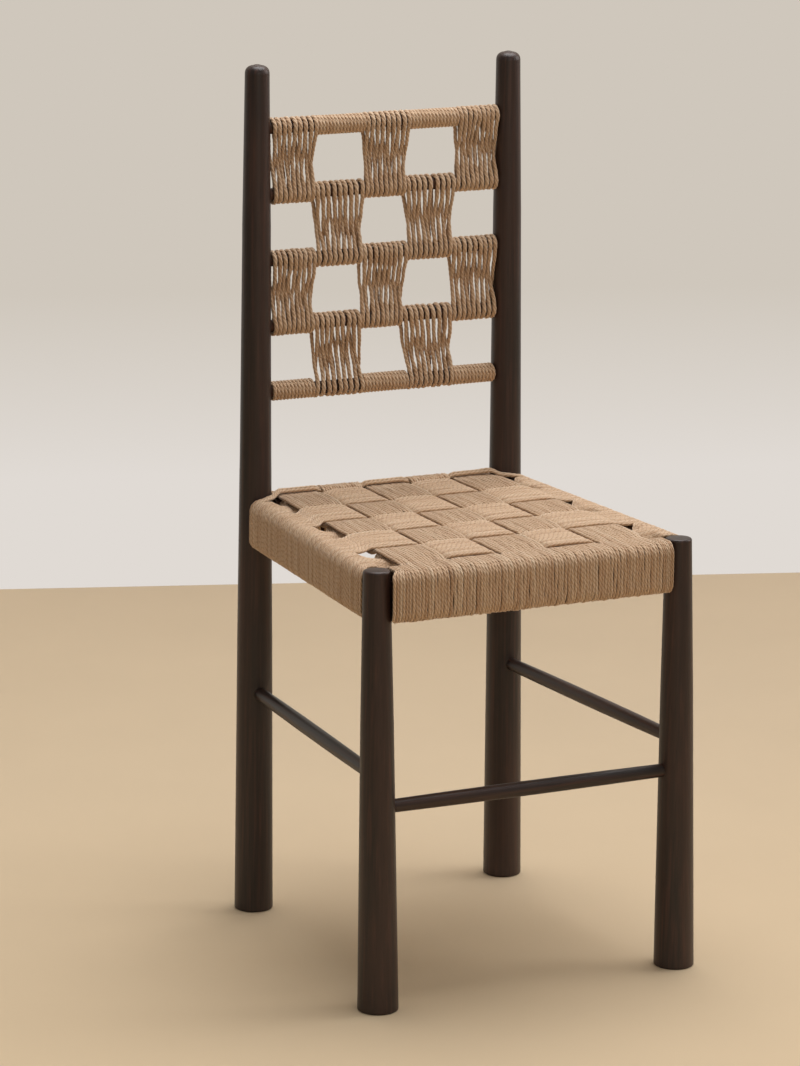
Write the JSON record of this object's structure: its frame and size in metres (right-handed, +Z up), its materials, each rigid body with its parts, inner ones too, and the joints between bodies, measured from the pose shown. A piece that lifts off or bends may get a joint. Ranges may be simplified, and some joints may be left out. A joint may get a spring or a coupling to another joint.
{
  "type": "accent chair",
  "caption": "Armless side chair with turned dark wood uprights, a seat woven from cord in wide bands, and a back of rungs wound with cord in a chequered pattern.",
  "frame": {"origin": "on the floor, below the centre of the chair's bounding box", "axes": "+Z up, -Y towards the chair's front, +X to the right as seen from the front"},
  "size_m": [0.389, 0.3996, 0.9215],
  "materials": {
    "stained_wood": "dark stained wood, satin lacquer",
    "seat_and_back_cord": "twisted natural fibre cord, matt",
    "tack_steel": "plain steel tacks"
  },
  "bodies": {
    "root": {"back_panel_1_1": "seat_and_back_cord", "back_panel_1_3": "seat_and_back_cord", "back_panel_1_5": "seat_and_back_cord", "back_panel_2_2": "seat_and_back_cord", "back_panel_2_4": "seat_and_back_cord", "back_panel_3_1": "seat_and_back_cord", "back_panel_3_3": "seat_and_back_cord", "back_panel_3_5": "seat_and_back_cord", "back_panel_4_2": "seat_and_back_cord", "back_panel_4_4": "seat_and_back_cord", "back_rung_1": "stained_wood", "back_rung_2": "stained_wood", "back_rung_3": "stained_wood", "back_rung_4": "stained_wood", "back_rung_5": "stained_wood", "front_leg_left": "stained_wood", "front_leg_right": "stained_wood", "front_rail_wrap_left": "seat_and_back_cord", "front_rail_wrap_right": "seat_and_back_cord", "front_stretcher": "stained_wood", "rear_post_left": "stained_wood", "rear_post_right": "stained_wood", "rung_winding_bottom_1": "seat_and_back_cord", "rung_winding_bottom_3": "seat_and_back_cord", "rung_winding_bottom_5": "seat_and_back_cord", "rung_winding_top_2": "seat_and_back_cord", "rung_winding_top_4": "seat_and_back_cord", "seat_rail_front": "stained_wood", "seat_rail_left": "stained_wood", "seat_rail_rear": "stained_wood", "seat_rail_right": "stained_wood", "seat_tacks_front": "tack_steel", "seat_tacks_left": "tack_steel", "seat_tacks_rear": "tack_steel", "seat_tacks_right": "tack_steel", "seat_warp_a": "seat_and_back_cord", "seat_warp_b": "seat_and_back_cord", "seat_warp_c": "seat_and_back_cord", "seat_warp_d": "seat_and_back_cord", "seat_warp_e": "seat_and_back_cord", "seat_weft_1": "seat_and_back_cord", "seat_weft_2": "seat_and_back_cord", "seat_weft_3": "seat_and_back_cord", "seat_weft_4": "seat_and_back_cord", "seat_weft_5": "seat_and_back_cord", "seat_weft_rear": "seat_and_back_cord", "side_stretcher_left": "stained_wood", "side_stretcher_right": "stained_wood"}
  },
  "joints": []
}
